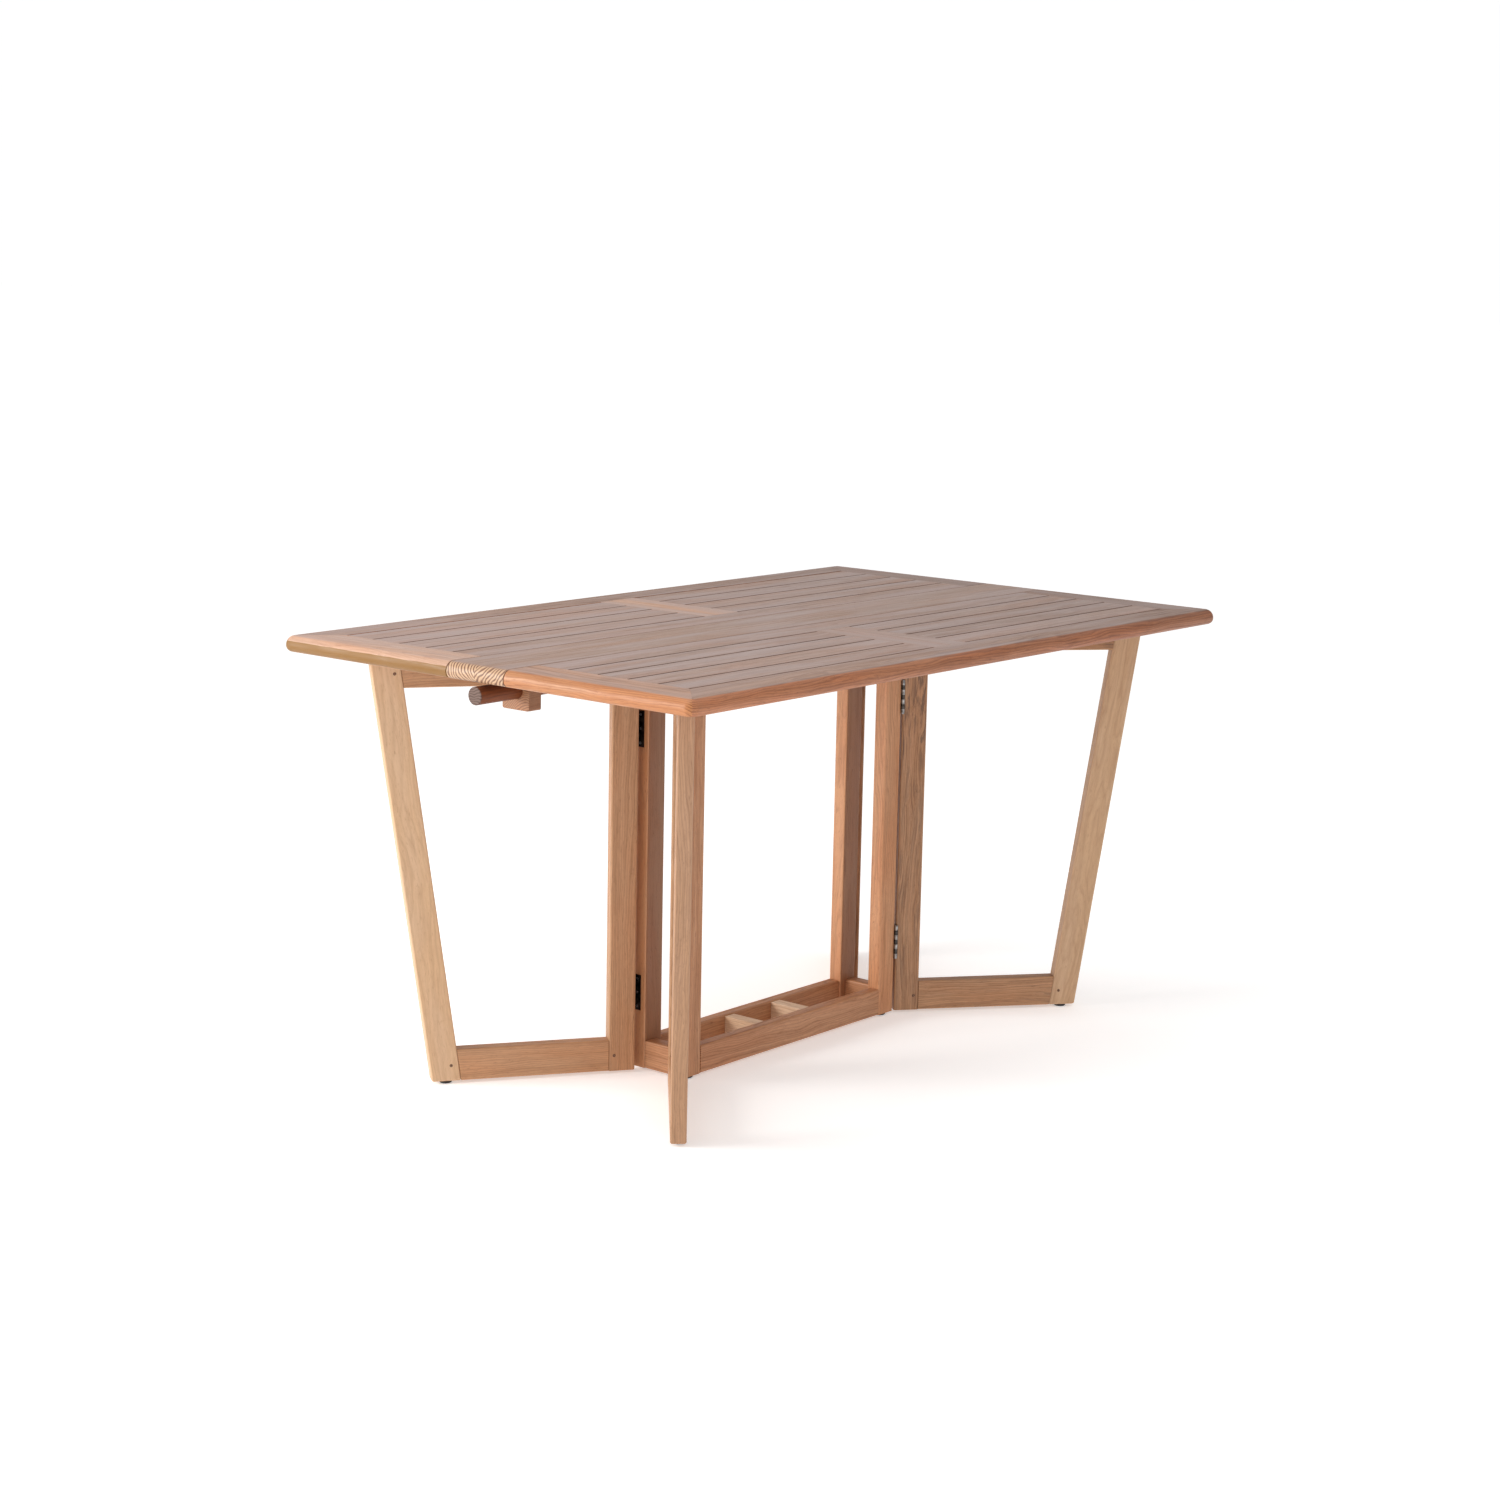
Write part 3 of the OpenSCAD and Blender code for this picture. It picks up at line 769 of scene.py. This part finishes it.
def bar(name, node, axes, body, slot, material, foot_r=0.0, forward=None, **look):
    """A straight or leaning member with rounded long edges, the size of its CAD node. Its length lies
    along local X, or along Z for a leaning one. forward is the local axis, and the side of it, on which
    the wood is drawn forward beside a hinge."""
    low, high, foot, head = ends_of(local_points(node, axes))
    if forward:
        axis, side = forward
        if side > 0:
            high[axis] += LET_IN
        else:
            low[axis] -= LET_IN
    bm = prism(low, high, (foot[0].x, foot[1].x), (head[0].x, head[1].x))
    lean = look.get("lean", 0.0)
    round_edges(bm, edges_along(bm, (lean, 0, 1) if lean else (1, 0, 0)), LONG_R, 4)
    if foot_r:
        bottom = [e for e in sharp_edges(bm) if max(v.co.z for v in e.verts) < low.z + END_REACH]
        round_edges(bm, bottom, foot_r, 5)
    round_edges(bm, sharp_edges(bm), JOINT_R, 2)
    wood_piece(name, bm, axes, body, slot, material, [node], wear_and_highlight=1.0, **look)


ROD_LOW, ROD_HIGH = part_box("carrying_rod")
ROD_R = (ROD_HIGH.z - ROD_LOW.z) / 2
ROD_AXIS = (ROD_LOW + ROD_HIGH) / 2
ROD_RIM_R = 1.6 * MM
ROD_STEPS = 48
BORE_R = ROD_R + 0.05 * MM
BORE_STEPS = 96
BLOCK_CORNER_R = 3 * MM
BLOCK_RIM_R = 0.7 * MM
TINY = 1e-6  # less than this counts as nothing


def bored_block(name, low, high, nodes, **look):
    """Block with rounded corners and a hole along X for the rod."""
    bm = bmesh.new()
    inner, outer = [], []
    for i in range(BORE_STEPS):
        turn = 2 * math.pi * i / BORE_STEPS
        way = Vector((0, math.cos(turn), math.sin(turn)))
        reach = min(
            ((high[k] if way[k] > 0 else low[k]) - ROD_AXIS[k]) / way[k]
            for k in (1, 2)
            if abs(way[k]) > TINY
        )
        rim = ROD_AXIS + way * reach
        for k, m in ((1, 2), (2, 1)):
            past = BLOCK_CORNER_R - min(high[k] - rim[k], rim[k] - low[k])
            other = min(high[m] - rim[m], rim[m] - low[m])
            if past > 0 and other < TINY:
                drop = BLOCK_CORNER_R - math.sqrt(max(BLOCK_CORNER_R**2 - past**2, 0))
                rim[m] += drop if rim[m] < ROD_AXIS[m] else -drop
        outer.append([bm.verts.new((x, rim.y, rim.z)) for x in (low.x, high.x)])
        ring = ROD_AXIS + way * BORE_R
        inner.append([bm.verts.new((x, ring.y, ring.z)) for x in (low.x, high.x)])
    for i in range(BORE_STEPS):
        j = (i + 1) % BORE_STEPS
        bm.faces.new((outer[i][0], outer[j][0], inner[j][0], inner[i][0]))
        bm.faces.new((outer[i][1], inner[i][1], inner[j][1], outer[j][1]))
        bm.faces.new((outer[i][0], outer[i][1], outer[j][1], outer[j][0]))
        bm.faces.new((inner[i][0], inner[j][0], inner[j][1], inner[i][1]))
    bmesh.ops.recalc_face_normals(bm, faces=bm.faces)
    round_edges(bm, sharp_edges(bm, degrees=60), BLOCK_RIM_R, 2)
    wood_piece(name, bm, ALONG_X, "frame", nodes=nodes, **look)


def carrying_rod():
    length = ROD_HIGH.x - ROD_LOW.x
    turns = [math.pi / 8 * i for i in range(5)]
    rim = [(ROD_R - ROD_RIM_R * (1 - math.sin(t)), ROD_RIM_R * (1 - math.cos(t))) for t in turns]
    profile = [(0, 0)] + rim
    profile += [(r, length - z) for r, z in reversed(profile)]
    bm = lathe(profile, ROD_STEPS)
    bm.transform(Matrix.Rotation(math.pi / 2, 4, "Y"))
    bm.transform(Matrix.Translation((ROD_LOW.x, ROD_AXIS.y, ROD_AXIS.z)))
    wood_piece(
        "carrying_rod_wood", bm, ALONG_X, "frame", "frame_wood", ROD_WOOD,
        ["carrying_rod"], pith=(0.012, 0.03),
    )


def rod_holders():
    """The two blocks and the two top end rails that the rod runs through."""
    # Each rod block has painted shade on both of its sides.
    for end, low, high in twin_boxes("rod_blocks"):
        bored_block(
            f"rod_block_{end}", low, high, ["rod_blocks"],
            slot="block_wood", material=BLOCK_WOOD, pith=(0.03, 0.05), gaps=0.27,
        )
        node = f"top_end_rail_{end}"
        sx = ENDS[end]
        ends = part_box(node)
        ends[0 if sx < 0 else 1].x += sx * LET_IN
        bored_block(
            f"{node}_wood", *ends, [node],
            slot="frame_wood", material=FRAME_WOOD, pith=(0.05, 0.04),
        )


POST_TONE = {"near_front": 0.05, "far_front": -0.15, "near_back": -0.35, "far_back": -0.2}
DIVIDER_R = 1.2 * MM  # rounding of the dividers' long edges


def centre_frame():
    for side in SIDES:
        for kind, tone in (("base_rail", 0.12), ("top_rail", 0.1)):
            node = f"{kind}_{side}"
            bar(
                node + "_wood", node, ALONG_X, "frame", "frame_wood", FRAME_WOOD,
                pith=random_pith(), tone=tone,
            )
    for end, sx in ENDS.items():
        node = f"base_end_rail_{end}"
        bar(
            node + "_wood", node, ALONG_Y, "frame", "frame_wood", FRAME_WOOD,
            forward=(1, -sx), pith=(0.0, -0.05), tone=0.08,
        )
    # Each post has painted shade on its face towards the table's middle.
    for corner, (sx, sy) in CORNERS.items():
        node = "post_" + corner
        bar(
            node + "_wood", node, ALONG_Z, "frame", "frame_wood", FRAME_WOOD,
            forward=(2, -sx), pith=random_pith(), tone=POST_TONE[corner], gaps=0.4, gap_side=-sy,
        )
    for end, low, high in twin_boxes("box_dividers"):
        bm = prism(low, high)
        round_edges(bm, edges_along(bm, (0, 1, 0)), DIVIDER_R, 3)
        round_edges(bm, sharp_edges(bm), JOINT_R, 2)
        bm.transform(ALONG_Y.inverted())
        wood_piece(
            f"box_divider_{end}", bm, ALONG_Y, "frame", "block_wood", DIVIDER_WOOD,
            ["box_dividers"], pith=random_pith(),
        )


# ---- gates ----

PEG_R = 2.9 * MM
PEG_PROUD = 0.25 * MM
PEG_RIM = 0.3 * MM
PEG_DEPTH = 6 * MM
PEG_PROFILE = [
    (0, -PEG_DEPTH),
    (PEG_R, -PEG_DEPTH),
    (PEG_R, PEG_PROUD - PEG_RIM),
    (PEG_R - PEG_RIM, PEG_PROUD),
    (0, PEG_PROUD),
]
HEAD_STEPS = 20  # sides of a peg or of a screw's head
STILE_PEG_IN = 10 * MM  # from the stile's inner edge to its pegs
FOOT_PEG_IN = 14 * MM  # from the leg's inner edge to its lower peg
HEAD_PEG_IN = 9 * MM  # from the leg's inner edge at its head to its upper peg
GATE_STAIN = {"far_front": (0.85, 0.5)}  # of the stile and of the rails
GATE_TONE = {"near_back": -0.12, "far_front": 0.12}
PALE_LEGS = {"near_back": 0.0, "far_front": 0.3}  # legs of pale wood, and how far each is darkened


def pegs(corner, axes, places, faces):
    """Pegs at each (x, z) of a gate's own frame, whose heads show on both of its faces."""
    for number, (x, z) in enumerate(places, 1):
        for face, y, way in (("a", faces[0], -1), ("b", faces[1], 1)):
            bm = lathe(PEG_PROFILE, HEAD_STEPS)
            bm.transform(Matrix.Translation((x, y, z)) @ Matrix.Rotation(-way * math.pi / 2, 4, "X"))
            bm.transform(ALONG_Y.inverted())
            wood_piece(
                f"peg_{corner}_{number}{face}", bm, axes @ ALONG_Y, "gate_" + corner,
                "gate_wood", PEG_WOOD, pith=(0.003, 0.004),
            )


def gate(corner):
    axes = gate_axes(corner)
    body = "gate_" + corner
    stain, rail_stain = GATE_STAIN.get(corner, (0.0, 0.0))
    tone = GATE_TONE.get(corner, 0.0)
    node = f"gate_stile_{corner}"
    bar(
        node + "_wood", node, axes @ ALONG_Z, body, "gate_wood", GATE_WOOD,
        forward=(2, 1), pith=random_pith(), tone=tone, stain=stain,
    )
    for kind in ("top_rail", "bottom_rail"):
        node = f"gate_{kind}_{corner}"
        bar(
            node + "_wood", node, axes, body, "gate_wood", GATE_WOOD,
            pith=random_pith(), tone=tone, stain=rail_stain,
        )
    node = f"gate_leg_{corner}"
    low, high, foot, head = ends_of(local_points(node, axes))
    lean = (head[0].x - foot[0].x) / (high.z - low.z)
    leg_wood = LEG_WOOD if corner in PALE_LEGS else BROWN_LEG_WOOD
    bar(
        node + "_wood", node, axes, body, "leg_wood", leg_wood,
        foot_r=FOOT_R, pith=random_pith(), lean=lean, tone=PALE_LEGS.get(corner, 0.0),
    )

    stile = corners_of(local_points(f"gate_stile_{corner}", axes))
    lower = corners_of(local_points(f"gate_bottom_rail_{corner}", axes))
    upper = corners_of(local_points(f"gate_top_rail_{corner}", axes))
    lower_z = (lower[0].z + lower[1].z) / 2
    upper_z = (upper[0].z + upper[1].z) / 2
    leg_x = foot[0].x + lean * (lower[1].z - lower[0].z) / 2
    places = [
        (stile[1].x - STILE_PEG_IN, lower_z),
        (stile[1].x - STILE_PEG_IN, upper_z),
        (leg_x + FOOT_PEG_IN, lower_z),
        (head[0].x + HEAD_PEG_IN, upper_z),
    ]
    pegs(corner, axes, places, (low.y, high.y))


# ---- hinges, screws and glides ----


HINGE_METAL = {
    "post": GATE_HINGE_METAL,
    "gate": MOVING_HINGE_METAL,
    "top": LEAF_HINGE_METAL,
    "leaf": LEAF_HINGE_METAL,
}
HINGE_EDGE_R = 0.25 * MM
HINGE_APART = 50 * MM  # a wider gap than this between points parts one hinge from the next
PLATE_EDGE = 2 * MM  # points this near to a hinge plate's free edge lie on the plate
SCREW_STEP = 25 * MM  # from the middle screw of a gate hinge's plate to the others
LEAF_SCREW_STEP = 20 * MM
LEAF_SCREW_OUT = 11 * MM  # from a leaf hinge's pin to its screws
# Half profile of a countersunk screw head with a low dome, its rim level with the plate.
SCREW_PROFILE = [(r * MM, z * MM) for r, z in ((0, -1), (1.3, -1), (2.6, 0), (2.2, 0.13), (0, 0.16))]
GLIDE_R = 11 * MM
GLIDE_TREAD_IN = 3 * MM  # how far inside the rim its flat tread ends
GLIDE_RISE = 0.5 * MM  # how far the tread's slope rises to the rim
GLIDE_RIM = 1.2 * MM  # breaking of the rim
GLIDE_TOP_IN = 0.4 * MM
GLIDE_STEPS = 40


def dress_hinges():
    """The CAD's hinges with their edges broken."""
    for name, node in NODES.items():
        if "hinges" in name:
            node.data.materials.clear()
            node.data.materials.append(HINGE_METAL[name.split("_")[0]])
            soft = node.modifiers.new("broken_edges", "BEVEL")
            soft.width = HINGE_EDGE_R
            soft.segments = 2
            soft.limit_method = "ANGLE"
            soft.angle_limit = math.radians(40)
            soft.harden_normals = True
            for face in node.data.polygons:
                face.use_smooth = True


def glide(name, centre, body, node):
    low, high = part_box(node)
    height = high.z - low.z
    profile = [
        (0, 0),
        (GLIDE_R - GLIDE_TREAD_IN, 0),
        (GLIDE_R - GLIDE_RIM, GLIDE_RISE),
        (GLIDE_R, GLIDE_RISE + GLIDE_RIM),
        (GLIDE_R, height - GLIDE_RIM),
        (GLIDE_R - GLIDE_TOP_IN, height),
        (0, height),
    ]
    bm = lathe(profile, GLIDE_STEPS)
    bm.transform(Matrix.Translation((centre[0], centre[1], low.z)))
    finish_mesh(name, bm, ALONG_X, body, GLIDE_PLASTIC, [node])


def glides():
    points = [v.co for v in NODES["base_glides"].data.vertices]
    for corner, (sx, sy) in CORNERS.items():
        own = corners_of([p for p in points if p.x * sx > 0 and p.y * sy > 0])
        centre = (own[0] + own[1]) / 2
        glide(f"glide_post_{corner}", centre, "frame", "base_glides")
        node = f"gate_glide_{corner}"
        low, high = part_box(node)
        glide(f"glide_leg_{corner}", (low + high) / 2, "gate_" + corner, node)


def screw_heads(name, places, body):
    """Low domed heads, each seated at a place's origin and facing its +Z."""
    whole = bmesh.new()
    for place in places:
        bm = lathe(SCREW_PROFILE, HEAD_STEPS)
        bm.transform(place)
        mesh = bpy.data.meshes.new("head")
        bm.to_mesh(mesh)
        bm.free()
        whole.from_mesh(mesh)
        bpy.data.meshes.remove(mesh)
    finish_mesh(name, whole, ALONG_X, body, SCREW_METAL, ())


def facing(point, normal):
    """Place at a point whose +Z lies along the normal."""
    return Matrix.Translation(point) @ Vector(normal).to_track_quat("Z", "Y").to_matrix().to_4x4()


def hinge_levels(points, count, axis=2):
    """Middles of count hinges along an axis."""
    values = sorted(p[axis] for p in points)
    groups = [[values[0]]]
    for a, b in zip(values, values[1:]):
        if b - a > HINGE_APART:
            groups.append([])
        groups[-1].append(b)
    assert len(groups) == count
    return [(g[0] + g[-1]) / 2 for g in groups]


def gate_hinge_screws():
    on_posts = []
    for corner, (sx, sy) in CORNERS.items():
        points = [v.co for v in NODES["post_hinges"].data.vertices]
        points = [p for p in points if p.x * sx > 0 and p.y * sy > 0]
        inner = min(abs(p.y) for p in points)
        outer = abs(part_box(f"post_{corner}")[1 if sy > 0 else 0].y)
        face = max(abs(p.x) for p in points if abs(p.y) < inner + PLATE_EDGE)
        axes = gate_axes(corner)
        leaf = local_points(f"gate_hinges_{corner}", axes)
        reach = max(abs(p.y) for p in leaf)
        skin = min(p.x for p in leaf if abs(p.y) > reach - PLATE_EDGE)
        side = -sx * sy
        on_gate = []
        for level in hinge_levels(points, 2):
            for step in (-SCREW_STEP, 0, SCREW_STEP):
                on_posts.append(facing((sx * face, sy * (inner + outer) / 2, level + step), (sx, 0, 0)))
                y = side * (reach - (outer - inner) / 2)
                on_gate.append(axes @ facing((skin, y, level + step), (-1, 0, 0)))
        screw_heads(f"screws_gate_{corner}", on_gate, "gate_" + corner)
    screw_heads("screws_posts", on_posts, "frame")


def leaf_hinge_screws():
    on_top = []
    for side, sy in SIDES.items():
        points = [v.co for v in NODES[f"leaf_hinges_{side}"].data.vertices]
        on_leaf = []
        for middle in hinge_levels(points, 3, axis=0):
            for step in (-LEAF_SCREW_STEP, 0, LEAF_SCREW_STEP):
                for heads, way in ((on_top, -1), (on_leaf, 1)):
                    y = sy * (LEAF_PIN[1] + way * LEAF_SCREW_OUT)
                    heads.append(facing((middle + step, y, UNDER_Z), (0, 0, -1)))
        screw_heads(f"screws_leaf_{side}", on_leaf, "leaf_" + side)
    screw_heads("screws_top", on_top, "frame")


# ---- the whole table, in the order of the random draws ----

for side_name in SIDES:
    centre_board(side_name)
    outer_stile(side_name)
    inner_stile(side_name)
    mid_rail(side_name)
    slats(side_name)
for corner_name in CORNERS:
    end_rail(corner_name)
    gate(corner_name)
centre_frame()
carrying_rod()
rod_holders()
dress_hinges()
gate_hinge_screws()
leaf_hinge_screws()
glides()


# ---- floor, light and camera ----

FLOOR_HALF = 40
FLOOR_WHITE = (0.95, 0.95, 0.95, 1)
FLOOR_GLOW = 0.37  # keeps the paper white where the soft lights fall off
# Shade of the surroundings, white below and near the horizon (0) and dimmer above, up to the zenith (1).
WORLD_STOPS = ((0.0, 1.06), (0.082, 1.06), (0.14, 0.5), (0.45, 0.52), (1.0, 0.98))
WORLD_STRENGTH = 0.95
CAMERA_PLACE = (-3.9521, -3.216, 1.483)
CAMERA_TURNS = (51.068, 10.351, 1.269)  # yaw from +Y towards +X, pitch down, and roll, in degrees
CAMERA_LENS = 69.056
CAMERA_SHIFT = (-0.0225, -0.0043)


def studio():
    bm = bmesh.new()
    bmesh.ops.create_grid(bm, x_segments=8, y_segments=8, size=FLOOR_HALF)
    mesh = bpy.data.meshes.new("floor")
    bm.to_mesh(mesh)
    bm.free()
    floor = bpy.data.objects.new("floor", mesh)
    bpy.context.scene.collection.objects.link(floor)
    g = Graph("floor_paper")
    g.surface("Base Color", FLOOR_WHITE)
    g.surface("Roughness", 0.9)
    g.surface("Specular IOR Level", 0.1)
    g.surface("Emission Color", (1, 1, 1, 1))
    g.surface("Emission Strength", FLOOR_GLOW)
    mesh.materials.append(g.material)

    world = bpy.data.worlds.new("studio")
    world.use_nodes = True
    tree = world.node_tree
    back = tree.nodes["Background"]
    place = tree.nodes.new("ShaderNodeTexCoord")
    split = tree.nodes.new("ShaderNodeSeparateXYZ")
    ramp = tree.nodes.new("ShaderNodeValToRGB")
    tree.links.new(place.outputs["Generated"], split.inputs[0])
    tree.links.new(split.outputs["Z"], ramp.inputs[0])
    fill_ramp(ramp.color_ramp, WORLD_STOPS)
    tree.links.new(ramp.outputs["Color"], back.inputs["Color"])
    back.inputs["Strength"].default_value = WORLD_STRENGTH
    bpy.context.scene.world = world


def area_light(name, place, target, size, power, colour=(1, 1, 1)):
    data = bpy.data.lights.new(name, "AREA")
    data.shape = "RECTANGLE"
    data.size, data.size_y = size
    data.energy = power
    data.color = colour
    lamp = bpy.data.objects.new(name, data)
    lamp.location = place
    lamp.rotation_euler = (Vector(target) - Vector(place)).to_track_quat("-Z", "Y").to_euler()
    bpy.context.scene.collection.objects.link(lamp)


def photo_camera():
    """Stands off the near front corner, a little above the top, and looks slightly down."""
    yaw, pitch, roll = (math.radians(a) for a in CAMERA_TURNS)
    level = Vector((math.sin(yaw), math.cos(yaw), 0))
    ahead = level * math.cos(pitch) - Vector((0, 0, math.sin(pitch)))
    right = Vector((math.cos(yaw), -math.sin(yaw), 0))
    up = right.cross(ahead)
    right, up = (
        right * math.cos(roll) + up * math.sin(roll),
        up * math.cos(roll) - right * math.sin(roll),
    )
    data = bpy.data.cameras.new("camera")
    data.sensor_width = 36
    data.lens = CAMERA_LENS
    data.shift_x, data.shift_y = CAMERA_SHIFT
    data.clip_end = 200
    camera = bpy.data.objects.new("camera", data)
    turn = Matrix((right, up, -ahead)).transposed().to_4x4()
    camera.matrix_world = Matrix.Translation(CAMERA_PLACE) @ turn
    bpy.context.scene.collection.objects.link(camera)
    bpy.context.scene.camera = camera


studio()
area_light(
    "key", place=(-3.2, 2.3, 1.7), target=(0, 0, 0.45), size=(2.0, 1.8), power=109,
    colour=(1, 0.985, 0.96),
)
area_light("overhead", place=(-1.0, 0.2, 2.6), target=(-1.0, 0.2, 0), size=(1.6, 1.6), power=13)
area_light("fill", place=(-2.4, -3.0, 1.5), target=(-0.4, 0, 0.5), size=(1.6, 1.4), power=4)
photo_camera()
bpy.context.scene.view_settings.view_transform = "Standard"
